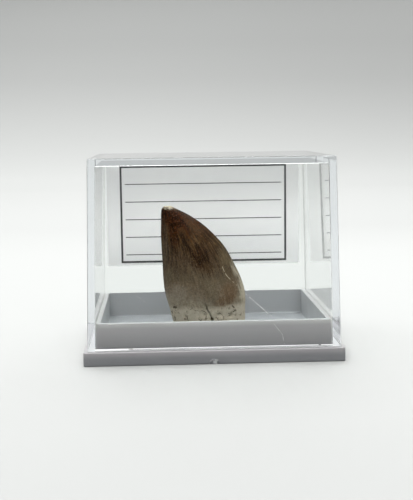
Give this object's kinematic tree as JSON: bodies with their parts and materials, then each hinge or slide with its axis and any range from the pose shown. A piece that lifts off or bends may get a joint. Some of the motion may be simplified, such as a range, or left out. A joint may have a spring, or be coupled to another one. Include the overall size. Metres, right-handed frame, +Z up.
{
  "type": "fossil mosasaur tooth in a clear display box",
  "caption": "Recurved brown fossil tooth with a pale root, standing on a grey tray under a clear box cover with a label card behind it.",
  "frame": {"origin": "centre of the underside of the box's tray, on the plane it rests on", "axes": "+Z up; +X along the box's long side, to the right as the box is looked at; -Y is the front, the side from which the card is read and the tooth's tip points left"},
  "size_m": [0.058, 0.05, 0.0454],
  "materials": {
    "tray_plastic": "satin",
    "clear_plastic": "polished",
    "card": "matte",
    "fossil": "satin"
  },
  "bodies": {
    "root": {"base_tray": "tray_plastic", "clear_cover": "clear_plastic", "label_card": "card", "tooth": "fossil"}
  },
  "joints": []
}
